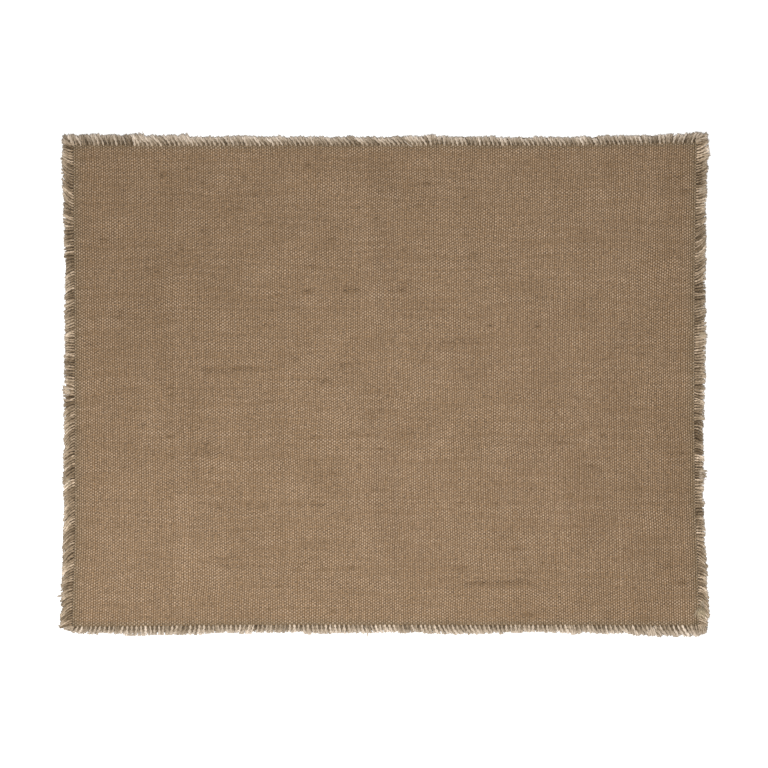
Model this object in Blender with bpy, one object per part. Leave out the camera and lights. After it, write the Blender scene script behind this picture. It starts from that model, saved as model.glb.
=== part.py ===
# Fabric placemat: one flat woven cloth with a short frayed fringe along each of its four sides.
# Metres. +X runs along the long side, +Y to the far side, +Z up; the mat lies flat on Z = 0.
#
# Each fringe is a narrow root strip, parted from the cloth's edge by a hair, and the locks of yarn
# that grow out of it. The locks lean to and fro in groups and fan out into the corners.

import math
import random

import bmesh
import bpy
from mathutils import Vector

# Driving dimensions, in metres
MM = 0.001
CLOTH_THICKNESS = 1.8 * MM
CLOTH_EDGE_ROUND = 0.45 * MM
PIECE_GAP = 0.32 * MM        # between the cloth and a strip
STRIP_WIDTH = 1.2 * MM       # the roots that hold a fringe's locks together
STRIP_HEIGHT = 1.6 * MM

# The locks of each fringe: one holds about three warp ends at the top and bottom, and about five
# weft ends at the left and right
LOCKS = {"top": 84, "bottom": 84, "left": 64, "right": 64}
ROOT_FILL = (0.60, 0.74)     # a lock's width as a share of its pitch, least and most, at the root
TIP_FILL = (0.80, 0.92)      # and at the tip, where the yarn is frayed
MIDDLE_HEIGHT = (0.84, 1.0)  # its height halfway out, as a share of the strip's
TIP_HEIGHT = (0.50, 0.80)    # its height at the tip, as a share of the strip's
CROWN = 0.26                 # share by which a lock's upper edges draw in to its middle line
TIP_ROUND = 0.13             # share by which its upper tip draws back from its lower tip
TIP_RAGGED = 0.8 * MM        # how far a tip falls short of the cut line, at most
LOCK_MIDDLE = 0.52           # where along its length a lock bends
LOCK_BOW = 0.22              # share of its lean that a lock makes only beyond that bend
LEAN = 2.3 * MM              # how far a lock leans to one side at its tip, at most
LEAN_WAVES = [               # columns: length along the fringe of one swing, its share of the lean
    (31.0 * MM, 0.6),
    (52.7 * MM, 0.4),
]
CORNER_FAN = 32.0 * MM       # reach of the fan into a corner, along the tips
CORNER_CLEAR = 0.5 * MM      # from a fringe's last lock to its corner, along the tips

# The outline, measured outwards from the mat's middle lines, in millimetres.
# Columns: place along the side, the cloth's edge, the cut line of the fringe's tips.
SIDE_LINES = {
    "top": [
        (-197, 165.7, 173.4),
        (-150, 165.7, 171.8),
        (-80, 165.7, 171.6),
        (-17, 166.0, 171.2),
        (28, 166.0, 172.2),
        (90, 165.6, 171.0),
        (140, 166.1, 171.2),
        (175, 166.6, 172.6),
        (205, 167.2, 173.2),
    ],
    "bottom": [
        (-205, 168.6, 172.6),
        (-180, 168.5, 173.8),
        (-120, 167.7, 173.0),
        (-85, 167.4, 171.7),
        (-40, 167.3, 172.8),
        (5, 167.4, 171.6),
        (50, 167.5, 173.0),
        (115, 167.5, 171.8),
        (165, 167.6, 172.6),
        (193, 167.7, 174.9),
    ],
    "left": [
        (-155, 215.8, 224.2),
        (-135, 215.0, 223.0),
        (-100, 214.1, 221.7),
        (-50, 214.2, 222.0),
        (10, 214.3, 221.8),
        (75, 214.6, 220.9),
        (120, 215.0, 222.2),
        (150, 215.1, 223.0),
    ],
    "right": [
        (-150, 218.2, 224.8),
        (-120, 217.4, 223.6),
        (-85, 216.0, 221.7),
        (-30, 215.4, 221.6),
        (10, 215.4, 222.9),
        (70, 215.6, 222.9),
        (115, 216.2, 223.0),
        (150, 216.7, 224.2),
    ],
}

# Columns: corner, the cloth's corner (x, y), the fringe's outer corner (x, y), in millimetres.
CORNERS = {
    "top_left": ((-215.2, 165.7), (-223.4, 172.0)),
    "top_right": ((217.1, 167.5), (225.0, 174.2)),
    "bottom_right": ((218.6, -167.8), (224.6, -173.9)),
    "bottom_left": ((-215.9, -168.7), (-225.0, -172.0)),
}

# Columns: side, its first and last corner, whether it runs along X, the sign of its outward way.
SIDES = {
    "top": ("top_left", "top_right", True, 1),
    "bottom": ("bottom_left", "bottom_right", True, -1),
    "left": ("bottom_left", "top_left", False, -1),
    "right": ("bottom_right", "top_right", False, 1),
}

CLOTH_COLOUR = (0.292, 0.198, 0.125, 1.0)
FRINGE_COLOUR = (0.402, 0.318, 0.230, 1.0)


def clear_scene():
    for thing in list(bpy.data.objects):
        bpy.data.objects.remove(thing, do_unlink=True)


def make_material(name, colour, roughness):
    material = bpy.data.materials.new(name)
    material.use_nodes = True
    shader = material.node_tree.nodes["Principled BSDF"]
    shader.inputs["Base Color"].default_value = colour
    shader.inputs["Roughness"].default_value = roughness
    shader.inputs["Metallic"].default_value = 0.0
    material.diffuse_color = colour
    return material


def side_path(side, column):
    """The points of a side's edge (column 1) or cut line (column 2), from corner to corner."""
    first, last, along_x, sign = SIDES[side]
    points = [CORNERS[first][column - 1]]
    for row in SIDE_LINES[side]:
        along, outward = row[0], sign * row[column]
        points.append((along, outward) if along_x else (outward, along))
    points.append(CORNERS[last][column - 1])
    return [Vector(point) * MM for point in points]


def path_lengths(path):
    lengths = [0.0]
    for start, end in zip(path, path[1:]):
        lengths.append(lengths[-1] + (end - start).length)
    return lengths


def point_on(path, lengths, place):
    """The point at the length `place` along a path."""
    for index in range(1, len(path)):
        if place <= lengths[index] or index == len(path) - 1:
            share = (place - lengths[index - 1]) / (lengths[index] - lengths[index - 1])
            return path[index - 1].lerp(path[index], share)


def fan_shift(place, length, first_spread, last_spread):
    """How far a root stays behind its tip, so that the tips spread into both corners."""
    first = max(0.0, 1.0 - place / CORNER_FAN) ** 2 * first_spread
    last = max(0.0, 1.0 - (length - place) / CORNER_FAN) ** 2 * last_spread
    return first - last


def lock_places(side, length, rng):
    """Where each lock begins and ends along the cut line: its root's and its tip's two edges."""
    count = LOCKS[side]
    pitch = (length - 2 * CORNER_CLEAR) / count
    places = []
    for number in range(count):
        middle = CORNER_CLEAR + (number + 0.5) * pitch
        root_half = pitch * rng.uniform(*ROOT_FILL) / 2
        tip_half = pitch * rng.uniform(*TIP_FILL) / 2
        places.append((middle - root_half, middle - tip_half))
        places.append((middle + root_half, middle + tip_half))
    return places


def lean_at(place, length, phases):
    """The sideways lean of the tip at a place: slow swings that die out at the corners."""
    swing = 0.0
    for (wave, share), phase in zip(LEAN_WAVES, phases):
        swing += share * math.sin(2 * math.pi * place / wave + phase)
    calm = min(1.0, place / CORNER_FAN, (length - place) / CORNER_FAN)
    return LEAN * swing * calm


def fringe_rows(side, rng):
    """Four rows of points: the strip's two edges, then the locks halfway out and at their tips."""
    edge = side_path(side, 1)
    cut = side_path(side, 2)
    edge_lengths = path_lengths(edge)
    cut_lengths = path_lengths(cut)
    length = cut_lengths[-1]
    across = 1 if SIDES[side][2] else 0
    spread = [abs((edge[end] - cut[end])[1 - across]) for end in (0, -1)]
    scale = edge_lengths[-1] / (length - sum(spread))
    phases = [rng.uniform(0, 2 * math.pi) for _ in LEAN_WAVES]

    rows = [[], [], [], []]
    for root_place, tip_place in lock_places(side, length, rng):
        behind = root_place + fan_shift(root_place, length, *spread) - spread[0]
        root = point_on(edge, edge_lengths, behind * scale)
        way = point_on(cut, cut_lengths, root_place) - root
        depth = abs(way[across])
        rows[0].append(root + way * (PIECE_GAP / depth))
        rows[1].append(root + way * ((PIECE_GAP + STRIP_WIDTH) / depth))

        straight = point_on(cut, cut_lengths, tip_place)
        leaning = point_on(cut, cut_lengths, tip_place + lean_at(tip_place, length, phases))
        tip = leaning.lerp(root, rng.uniform(0, TIP_RAGGED) / depth)
        rows[2].append(rows[1][-1].lerp(tip, LOCK_MIDDLE) + (straight - leaning) * LOCK_BOW)
        rows[3].append(tip)
    return rows


def lay_underside(rows):
    """The flat comb that lies on the surface: the strip, and two faces for each lock."""
    mesh = bmesh.new()
    column = mesh.verts.layers.int.new("column")
    level = mesh.verts.layers.int.new("level")
    inner = []
    for number, point in enumerate(rows[0]):
        vert = mesh.verts.new(point.to_3d())
        vert[column] = number
        inner.append(vert)
    front = [mesh.edges.new(pair) for pair in zip(inner, inner[1:])]
    for row in (1, 2, 3):
        grown = bmesh.ops.extrude_edge_only(mesh, edges=front)["geom"]
        fresh = {item for item in grown if isinstance(item, bmesh.types.BMVert)}
        for vert in fresh:
            vert.co = rows[row][vert[column]].to_3d()
            vert[level] = row
        # only the edges between a lock's own two sides grow on
        front = [item for item in grown if isinstance(item, bmesh.types.BMEdge)
                 and fresh.issuperset(item.verts)
                 and min(vert[column] for vert in item.verts) % 2 == 0]
    bmesh.ops.recalc_face_normals(mesh, faces=mesh.faces[:])
    mesh.normal_update()
    if mesh.faces[0].normal.z < 0:
        bmesh.ops.reverse_faces(mesh, faces=mesh.faces[:])
    return mesh


def raise_locks(mesh, rows, side, rng):
    """Raises the comb to its thickness, crowned along each lock and lower towards the tips."""
    column = mesh.verts.layers.int["column"]
    level = mesh.verts.layers.int["level"]
    middle_share = [rng.uniform(*MIDDLE_HEIGHT) for _ in range(LOCKS[side])]
    tip_share = [rng.uniform(*TIP_HEIGHT) for _ in range(LOCKS[side])]
    raised = bmesh.ops.extrude_face_region(mesh, geom=mesh.faces[:])["geom"]
    for vert in raised:
        if not isinstance(vert, bmesh.types.BMVert):
            continue
        lock, row = vert[column] // 2, vert[level]
        share = (1.0, 1.0, middle_share[lock], tip_share[lock])[row]
        if row > 1:
            middle = (rows[row][2 * lock] + rows[row][2 * lock + 1]) / 2
            vert.co = vert.co.lerp(middle.to_3d(), CROWN)
        if row == 3:
            vert.co = vert.co.lerp(rows[2][vert[column]].to_3d(), TIP_ROUND)
        vert.co.z = STRIP_HEIGHT * share


def make_fringe(side, material, seed):
    rng = random.Random(seed)
    rows = fringe_rows(side, rng)
    mesh = lay_underside(rows)
    raise_locks(mesh, rows, side, rng)
    data = bpy.data.meshes.new("fringe_" + side)
    mesh.to_mesh(data)
    mesh.free()
    data.materials.append(material)
    return bpy.data.objects.new("fringe_" + side, data)


def make_cloth(material):
    """The woven cloth: a flat outline through the four edges, rounded at its rim."""
    outline = side_path("top", 1) + side_path("right", 1)[-2:0:-1]
    outline += side_path("bottom", 1)[::-1] + side_path("left", 1)[1:-1]
    curve = bpy.data.curves.new("cloth", "CURVE")
    curve.dimensions = "2D"
    curve.fill_mode = "BOTH"
    curve.extrude = CLOTH_THICKNESS / 2 - CLOTH_EDGE_ROUND
    curve.bevel_depth = CLOTH_EDGE_ROUND
    curve.bevel_resolution = 1
    curve.offset = -CLOTH_EDGE_ROUND
    spline = curve.splines.new("POLY")
    spline.points.add(len(outline) - 1)
    for point, place in zip(spline.points, outline):
        point.co = (place.x, place.y, 0.0, 1.0)
    spline.use_cyclic_u = True
    curve.materials.append(material)
    cloth = bpy.data.objects.new("cloth", curve)
    cloth.location.z = CLOTH_THICKNESS / 2
    return cloth


def middle_of(pieces):
    """The middle of the pieces' bounding box in X and Y, which becomes the origin."""
    points = [vert.co for piece in pieces for vert in piece.data.vertices]
    middle = Vector()
    for axis in (0, 1):
        places = [point[axis] for point in points]
        middle[axis] = (min(places) + max(places)) / 2
    return middle


def build_placemat():
    clear_scene()
    collection = bpy.data.collections.new("placemat")
    bpy.context.scene.collection.children.link(collection)
    cloth = make_cloth(make_material("brown_cloth", CLOTH_COLOUR, 0.92))
    fringe_finish = make_material("pale_fringe", FRINGE_COLOUR, 0.95)
    fringes = [make_fringe(side, fringe_finish, seed) for seed, side in enumerate(SIDES)]

    placemat = bpy.data.objects.new("placemat", None)
    placemat.location = -middle_of(fringes)
    collection.objects.link(placemat)
    for piece in [cloth] + fringes:
        piece.parent = placemat
        collection.objects.link(piece)


build_placemat()
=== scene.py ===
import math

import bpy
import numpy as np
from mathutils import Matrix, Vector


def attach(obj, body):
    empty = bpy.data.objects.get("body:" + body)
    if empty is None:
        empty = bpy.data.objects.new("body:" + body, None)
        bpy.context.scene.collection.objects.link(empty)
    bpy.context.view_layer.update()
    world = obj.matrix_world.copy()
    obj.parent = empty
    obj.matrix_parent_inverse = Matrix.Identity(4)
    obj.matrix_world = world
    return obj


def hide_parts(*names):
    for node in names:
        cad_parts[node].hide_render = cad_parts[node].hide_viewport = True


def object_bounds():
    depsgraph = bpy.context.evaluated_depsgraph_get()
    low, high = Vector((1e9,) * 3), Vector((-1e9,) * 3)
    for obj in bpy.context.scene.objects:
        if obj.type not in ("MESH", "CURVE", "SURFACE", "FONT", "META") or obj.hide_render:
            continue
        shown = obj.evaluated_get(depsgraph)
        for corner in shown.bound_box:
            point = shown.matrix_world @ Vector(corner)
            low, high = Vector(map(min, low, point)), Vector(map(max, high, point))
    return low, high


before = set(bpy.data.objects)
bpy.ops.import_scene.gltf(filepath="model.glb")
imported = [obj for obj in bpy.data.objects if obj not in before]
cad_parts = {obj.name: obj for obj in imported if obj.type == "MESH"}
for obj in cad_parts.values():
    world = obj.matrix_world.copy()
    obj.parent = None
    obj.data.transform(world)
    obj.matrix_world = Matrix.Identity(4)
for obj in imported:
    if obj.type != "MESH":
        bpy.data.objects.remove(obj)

# Brown plain-woven placemat with a frayed fringe on all four sides, lying flat, seen from above.
# Every warp yarn is a real tube that goes over and under the weft ribs, and each yarn goes on into
# the fringe as two twisted plies with loose fibres on their outer part.

cadLow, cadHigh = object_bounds()
mm = 0.001

sideWays = {  # axis along the side, axis out of it, which way is out
    "top": (0, 1, 1),
    "bottom": (0, 1, -1),
    "left": (1, 0, -1),
    "right": (1, 0, 1),
}

outline = {
    "clothHeight": 1.8 * mm,
    "rimBand": 0.5 * mm,  # the rim's upright wall lies this close to half the height
    "rimReach": 4.0 * mm,  # and this close to the furthest point of its side
    "cutWindow": 13.0 * mm,  # the cut line takes the longest lock in each of these
    "fringeDepth": 8.0 * mm,  # about how far the mat's bounds lie outside the cloth
}


def nodePoints(name):
    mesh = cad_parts[name].data
    flat = np.empty(3 * len(mesh.vertices))
    mesh.vertices.foreach_get("co", flat)
    return flat.reshape(-1, 3)


def readClothEdge(side):  # places along the side, and how far out the edge is there
    along, out, way = sideWays[side]
    points = nodePoints("cloth")
    points = points[np.abs(points[:, 2] - outline["clothHeight"] / 2) < outline["rimBand"]]
    outward = way * points[:, out]
    points = points[outward > outward.max() - outline["rimReach"]]
    points = points[np.argsort(points[:, along])]
    return points[:, along], points[:, out]


def readCutLine(side):  # the same for the line through the longest locks
    along, out, way = sideWays[side]
    points = nodePoints("fringe_" + side)
    place, outward = points[:, along], way * points[:, out]
    windows = np.arange(place.min(), place.max(), outline["cutWindow"])
    best = []
    for start in windows:
        inside = np.flatnonzero((place >= start) & (place < start + outline["cutWindow"]))
        best.append(inside[np.argmax(outward[inside])])
    return place[best], points[best, out]


clothEdge = {side: readClothEdge(side) for side in sideWays}
cutLine = {side: readCutLine(side) for side in sideWays}


# no loom keeps its yarns quite straight: slow waves carry them about a third of a millimetre aside,
# and a whole one at most
waver = {
    "waves": 14,
    "length": (20 * mm, 65 * mm),
    "aside": 0.10 * mm,  # by each wave
    "rim": 14 * mm,  # dies out this close to the cut edges
}
waverRandom = np.random.default_rng(3)
waverHeading = waverRandom.uniform(0, np.pi, waver["waves"])
waverTurns = 2 * np.pi / waverRandom.uniform(*waver["length"], waver["waves"])
waverStart = waverRandom.uniform(0, 2 * np.pi, (2, waver["waves"]))


def rimShare(place, reach):  # 0 at the rim of the cloth, 1 from reach inside it
    x, y = np.abs(place[..., 0]), np.abs(place[..., 1])
    inside = np.minimum(cadHigh.x - x, cadHigh.y - y) - outline["fringeDepth"]
    return np.clip(inside / reach, 0, 1)


def strayOf(place):
    along = place[..., 0, None] * np.cos(waverHeading) + place[..., 1, None] * np.sin(waverHeading)
    aside = [np.cos(along * waverTurns + start).sum(axis=-1) for start in waverStart]
    return waver["aside"] * rimShare(place, waver["rim"])[..., None] * np.stack(aside, axis=-1)


def sideCorner(side, end):  # the cloth's corner at one end of the top or bottom side
    place, out = clothEdge[side]
    return np.array([place[end], out[end]])


def clothPlace(u, v):  # u runs left to right and v near to far, both 0 to 1
    u, v = np.broadcast_arrays(np.asarray(u, float), np.asarray(v, float))
    nearLeft, nearRight = sideCorner("bottom", 0), sideCorner("bottom", -1)
    farLeft, farRight = sideCorner("top", 0), sideCorner("top", -1)

    def along(side, share, first, last):
        axis, out, _ = sideWays[side]
        place = first[axis] + (last[axis] - first[axis]) * share
        point = np.zeros(share.shape + (2,))
        point[..., axis] = place
        point[..., out] = np.interp(place, *clothEdge[side])
        return point

    un, vn = u[..., None], v[..., None]
    place = (1 - vn) * along("bottom", u, nearLeft, nearRight) + vn * along("top", u, farLeft, farRight)
    place += (1 - un) * along("left", v, nearLeft, farLeft) + un * along("right", v, nearRight, farRight)
    place -= (1 - un) * (1 - vn) * nearLeft + un * (1 - vn) * nearRight
    place -= (1 - un) * vn * farLeft + un * vn * farRight
    return place + strayOf(place)


def addObject(name, data):
    thing = bpy.data.objects.new(name, data)
    bpy.context.scene.collection.objects.link(thing)
    return thing


def newMesh(name, points, faces, colours, spread, material):  # faces is a list of arrays
    mesh = bpy.data.meshes.new(name)
    mesh.from_pydata(points.tolist(), [], [face for part in faces for face in part.tolist()])
    mesh.shade_smooth()
    layer = mesh.color_attributes.new("yarnColour", "FLOAT_COLOR", "POINT")
    full = np.ones((len(points), 4))
    full[:, :3] = colours
    layer.data.foreach_set("color", full.ravel())
    uv = mesh.uv_layers.new(name="OFBake")  # a place on the bake map for each corner of each face
    uv.data.foreach_set("uv", spread.ravel())
    mesh.materials.append(material)
    return addObject(name, mesh)


def level(x, y):  # points or directions in the mat's plane
    return np.stack(np.broadcast_arrays(x, y, 0.0), axis=-1)


def tubeMesh(centres, across, halfWidth, top, bottom, sides, first=np.pi / 2):
    # centres is (tubes, rings, 3) with z ignored; a ring spans halfWidth each way across the yarn
    # and goes from bottom to top in height, its first corner at the top unless told otherwise
    angles = 2 * np.pi * np.arange(sides) / sides + first
    reach = np.cos(angles) / np.abs(np.cos(angles)).max()
    rise = np.sin(angles)
    rise = (rise - rise.min()) / (rise.max() - rise.min())
    points = np.repeat(centres[:, :, None, :], sides, axis=2)
    points = points + halfWidth[..., None, None] * across[:, :, None, :] * reach[:, None]
    points[..., 2] = bottom[..., None] + (top - bottom)[..., None] * rise
    return points


def tubeFaces(count, rings, sides):
    # walls from ring to ring, and a cap at either end of each tube
    corner = np.arange(sides)
    following = np.roll(corner, -1)
    starts = rings * sides * np.arange(count)[:, None]
    wall = np.stack([corner, following, following + sides, corner + sides], axis=1)
    walls = starts[:, :, None, None] + sides * np.arange(rings - 1)[:, None, None] + wall
    caps = [starts + corner[::-1], starts + (rings - 1) * sides + corner]
    return walls.reshape(-1, 4), np.concatenate(caps)


def tubeSpread(count, rings, sides, lanes):
    # each tube has its own cell of the bake map: lanes columns of cells, unrolled around the yarn
    rows = math.ceil(count / lanes)
    column, row = (np.arange(count) % lanes)[:, None], (np.arange(count) // lanes)[:, None]
    end, side, wide, tall = 0.03, 0.06, 0.3, 0.004  # margins and the caps' size, in shares of the cell
    up = (row[..., None] + end + (1 - 2 * end) * np.arange(rings)[:, None] / (rings - 1)) / rows
    aside = (column[..., None] + side + (1 - 2 * side) * np.arange(sides + 1) / sides) / lanes
    low, high, left, right = np.broadcast_arrays(up[:, :-1], up[:, 1:], aside[..., :-1], aside[..., 1:])
    corners = [(left, low), (right, low), (right, high), (left, high)]
    parts = [np.stack([np.stack(corner, axis=-1) for corner in corners], axis=-2).reshape(-1, 2)]
    angle = 2 * np.pi * np.arange(sides) / sides
    for place in (0.01, 0.99):
        cap = [(column + 0.5 + wide * np.cos(angle)) / lanes, (row + place + tall * np.sin(angle)) / rows]
        parts.append(np.stack(cap, axis=-1).reshape(-1, 2))
    return np.concatenate(parts)


def tubePiece(name, points, colours, material, lanes):  # points as tubeMesh gives them
    count, rings, sides = points.shape[:3]
    return newMesh(name, points.reshape(-1, 3), tubeFaces(count, rings, sides), colours,
                   tubeSpread(count, rings, sides, lanes), material)


warmth = np.array([0.91, 1.0, 1.16])  # light that yarns pass on between them turns warmer as it fades


def colourOf(base, strength):  # one linear colour, made lighter or darker point by point
    strength = np.maximum(strength, 0.02)  # never quite black
    return np.clip(np.asarray(base) * strength.reshape(-1, 1) ** warmth, 0, 1)


def smoothStep(share):  # from 0 to 1 with soft ends
    return share * share * (3 - 2 * share)


def drift(rng, rows, columns, reach):
    # smooth random rows, each wandering between -1 and 1 and turning about every reach columns
    knots = rng.uniform(-1, 1, (rows, int(columns / reach) + 3))
    at = np.arange(columns)[None, :] / reach + rng.random((rows, 1))
    low = at.astype(int)
    share = smoothStep(at - low)
    line = np.arange(rows)[:, None]
    return knots[line, low] * (1 - share) + knots[line, low + 1] * share


finish = {
    "warp": {"fibreSize": 900.0, "streak": 0.22, "bump": 0.25, "roughness": 0.9, "sheen": 0.04},
    "weft": {"fibreSize": 900.0, "streak": 0.62, "bump": 0.25, "roughness": 0.92, "sheen": 0.03},
    "fringe": {"fibreSize": 1400.0, "streak": 0.24, "bump": 0.35, "roughness": 0.9, "sheen": 0.05},
}


def addNode(tree, kind, values=()):  # with these values on its sockets
    node = tree.nodes.new("ShaderNode" + kind)
    for socket, value in dict(values).items():
        node.inputs[socket].default_value = value
    return node


def join(source, output, target, socket):
    target.id_data.links.new(source.outputs[output], target.inputs[socket])


def yarnFinish(name, look, stretch):
    # spun cotton: the colour laid on the yarn, with streaks that stretch draws out along its fibres
    material = bpy.data.materials.new(name)
    material.use_nodes = True
    tree = material.node_tree
    shader = tree.nodes["Principled BSDF"]
    shader.inputs["Roughness"].default_value = look["roughness"]
    shader.inputs["Sheen Weight"].default_value = look["sheen"]
    shader.inputs["Sheen Roughness"].default_value = 0.6
    shader.inputs["Specular IOR Level"].default_value = 0.15

    place = addNode(tree, "TexCoord")
    squeeze = addNode(tree, "Mapping", {"Scale": stretch})
    fibres = addNode(tree, "TexNoise", {"Scale": look["fibreSize"], "Detail": 3.0})
    join(place, "Object", squeeze, "Vector")
    join(squeeze, "Vector", fibres, "Vector")

    # the middle half of the noise's range becomes a factor on the colour
    span = addNode(tree, "MapRange", {"From Min": 0.25, "From Max": 0.75, "To Min": 1 - look["streak"],
                                      "To Max": 1 + look["streak"]})
    join(fibres, "Fac", span, "Value")
    colour = addNode(tree, "VertexColor")
    colour.layer_name = "yarnColour"
    streaked = addNode(tree, "VectorMath")
    streaked.operation = "SCALE"
    join(colour, "Color", streaked, 0)
    join(span, "Result", streaked, "Scale")
    join(streaked, "Vector", shader, "Base Color")

    relief = addNode(tree, "Bump", {"Strength": look["bump"], "Distance": 0.1 * mm})
    join(fibres, "Fac", relief, "Height")
    join(relief, "Normal", shader, "Normal")
    return material


warpFinish = yarnFinish("warpYarn", finish["warp"], (1.0, 0.25, 1.0))
weftFinish = yarnFinish("weftYarn", finish["weft"], (0.5, 1.0, 1.0))
slubFinish = yarnFinish("slubYarn", finish["weft"], (0.25, 1.0, 1.0))
fringeFinish = yarnFinish("fringeYarn", finish["fringe"], (1.0, 1.0, 1.0))

weave = {
    "ends": 278,  # warp yarns, far to near, 1.55 mm apart
    "picks": 348,  # weft yarns, left to right, 0.96 mm apart
    "endStray": 0.05,  # how far a warp yarn strays from its even place, in pitches
    "pickUneven": 0.13,  # share by which the room that a weft yarn takes wanders
    "warpHalfWidth": 0.64 * mm,
    "warpThickness": 0.55 * mm,
    "warpUneven": 0.14,  # share by which a crown's width and height wander
    "warpSides": 3,  # its cross-section is a triangle, flat side up
    "sway": 0.08 * mm,  # how far a crossing strays each way
    "ribTop": 1.08 * mm,  # ridge of a weft rib
    "ribValley": 0.70 * mm,  # between two ribs
    "ridgeUneven": 0.04 * mm,
    "leastWeft": 0.1 * mm,  # the ribbed sheet is nowhere thinner
    "ribColumns": 44,
    "rimColumn": 0.002,  # width of the first and the last, as a share of the cloth's
    "warpColour": (0.356, 0.251, 0.163),
    "weftColour": (0.230, 0.139, 0.068),
    "paintedDipShade": 0.75,  # painted shade: how dark the warp is painted where it dips
    "valley": 0.45,  # painted shade: how dark the weft is painted between two ribs
    "gap": (0.97, 0.93),  # painted shade: the weft's brightness on top of a float, and between two warp yarns
    "across": 0.48,  # the share of the bake map's width that the cloth takes
    "bakeMargin": (0.01, 0.02),
    "mottle": 0.13,  # how much one crossing differs from the next
    "endDifference": 0.025,  # how much one warp yarn differs from the next
    "pickDifference": 0.02,
    "pickLightAndShade": 0.16,  # a thick weft yarn lifts the warp over it; painted light and shade make that warp lighter and the weft beside it darker
    "driftReach": 14,  # its thickness turns in about so many warp yarns
    "cloud": 0.009,  # slow change of shade over the cloth, by each wave
    "rimShadeColour": (0.84, 0.90, 0.92),  # painted shade: the cloth's rim is painted darker and greener by these factors
    "rimReach": 3.0 * mm,
}

# a faint fold near the middle, as if stored folded: a soft trough between two low swells
crease = {
    "line": [(-168, 1.0), (-80, 1.5), (0, 2.6), (60, 2.2), (167, 0.7)],  # y and x in mm
    "swell": 0.16 * mm,
    "swellAway": 5.5 * mm,
    "swellWidth": 3.2 * mm,
    "trough": 1.9 * mm,
    # painted shade along the trough
    "dark": 0.025,
}

weaveRandom = np.random.default_rng(5)
endStray = weave["endStray"] * weaveRandom.uniform(-1, 1, weave["ends"])
endShare = (np.arange(weave["ends"]) + 0.5 + endStray) / weave["ends"]
endTone = 1 + weave["endDifference"] * weaveRandom.standard_normal(weave["ends"])
pickTone = 1 + weave["pickDifference"] * weaveRandom.standard_normal(weave["picks"])
pickSwell = drift(weaveRandom, weave["picks"], weave["ends"], weave["driftReach"])
room = 1 + weave["pickUneven"] * pickSwell
pickShare = (np.cumsum(room, axis=0) - room / 2) / room.sum(axis=0)  # one row for each weft yarn


def awayFromCrease(place):
    return place[..., 0] - np.interp(place[..., 1] / mm, *zip(*crease["line"])) * mm


swells = {  # the cloth isn't quite flat
    "height": 0.12 * mm,
    # metres for each radian, radians by which the other axis bends the waves, metres for each of those
    "overX": (0.043, 1.3, 0.061),
    "overY": (0.052, 0.8, 0.07),
    "start": 0.6,
    "rim": 30 * mm,  # they die out this close to the cut edges
}


def liftAt(place):
    x, y = place[..., 0], place[..., 1]
    waves = []
    for way, other, key, start in ((x, y, "overX", 0.0), (y, x, "overY", swells["start"])):
        turn, bend, bendTurn = swells[key]
        waves.append(np.sin(way / turn + bend * np.sin(other / bendTurn) + start))
    wave = waves[0] * waves[1]
    away = awayFromCrease(place)
    fold = sum(np.exp(-((away + way * crease["swellAway"]) / crease["swellWidth"]) ** 2) for way in (-1, 1))
    return rimShare(place, swells["rim"]) * (swells["height"] * (1 + wave) + crease["swell"] * fold)


# slubs, thick dark lumps in single weft yarns, mostly in strings
# columns: middle from the mat's centre (x, y) and length of the string in mm, lumps, darkness
slubTable = [
    (-103, 10, 46, 8, 0.26), (-133, -49, 58, 9, 0.24), (-69, -84, 58, 8, 0.24), (-99, -126, 32, 6, 0.24),
    (80, -138, 44, 9, 0.30), (-47, 64, 26, 4, 0.24), (-23, 65, 10, 3, 0.28), (54, 29, 30, 6, 0.20),
    (-129, 88, 36, 6, 0.20), (-23, 109, 22, 4, 0.20), (200, 143, 20, 4, 0.20), (188, 112, 32, 5, 0.16),
    (206, -138, 6, 2, 0.30), (-15, -36, 14, 3, 0.26), (17, -34, 8, 2, 0.26), (101, -160, 8, 2, 0.24),
    (204, -49, 10, 2, 0.22), (-146, -8, 12, 3, 0.24), (129, -77, 8, 2, 0.24), (-85, 111, 18, 3, 0.18),
]
slub = {
    "jitter": 0.35,  # how far a lump strays along its string, in spacings
    "halfLength": (1.0 * mm, 2.8 * mm),
    "halfHeight": (0.9 * mm, 1.7 * mm),
    "strayUp": 0.8 * mm,  # a lump lies this far off its string, at most
    "stringDark": 1.40,  # times the darkness in the string's row
    "stringUneven": (0.6, 1.1),  # and times a factor of each lump's own
    "singles": 190,
    "singleDark": (0.20, 0.38),
    "singleField": (0.21, 0.162),  # half the width and depth of their field, in metres
    "shade": 0.95,  # less a lump's darkness
    "colour": (0.240, 0.156, 0.088),
    "swell": 0.30 * mm,  # how far a lump stands above the ribs
    "depth": 0.5 * mm,
    "core": 0.55,  # the share of its half height that is raised
    "rings": 5,
    "sides": 6,
    "lanes": 13,
}


def layLumps(rng):  # middle x and y, half length, half height, darkness of each lump
    lumps = []
    for x, y, length, count, dark in slubTable:
        for k in range(count):
            share = (k + 0.5 + rng.uniform(-slub["jitter"], slub["jitter"])) / count - 0.5
            lumps.append((x * mm + share * length * mm, y * mm + slub["strayUp"] * rng.uniform(-1, 1),
                          rng.uniform(*slub["halfLength"]), rng.uniform(*slub["halfHeight"]),
                          slub["stringDark"] * dark * rng.uniform(*slub["stringUneven"])))
    wide, tall = slub["singleField"]
    for _ in range(slub["singles"]):
        lumps.append((rng.uniform(-wide, wide), rng.uniform(-tall, tall),
                      rng.uniform(*slub["halfLength"]), rng.uniform(*slub["halfHeight"]),
                      rng.uniform(*slub["singleDark"])))
    return np.array(lumps)


lumpTable = layLumps(np.random.default_rng(9))

# wide soft patches where the cloth is a little lighter or darker
# columns: middle from the mat's centre (x, y) and reach in mm, share that the shade gains
patchTable = [(-160, 60, 75, -0.08), (-170, -125, 60, 0.07), (150, 130, 80, 0.055), (190, -80, 60, -0.045)]


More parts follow.
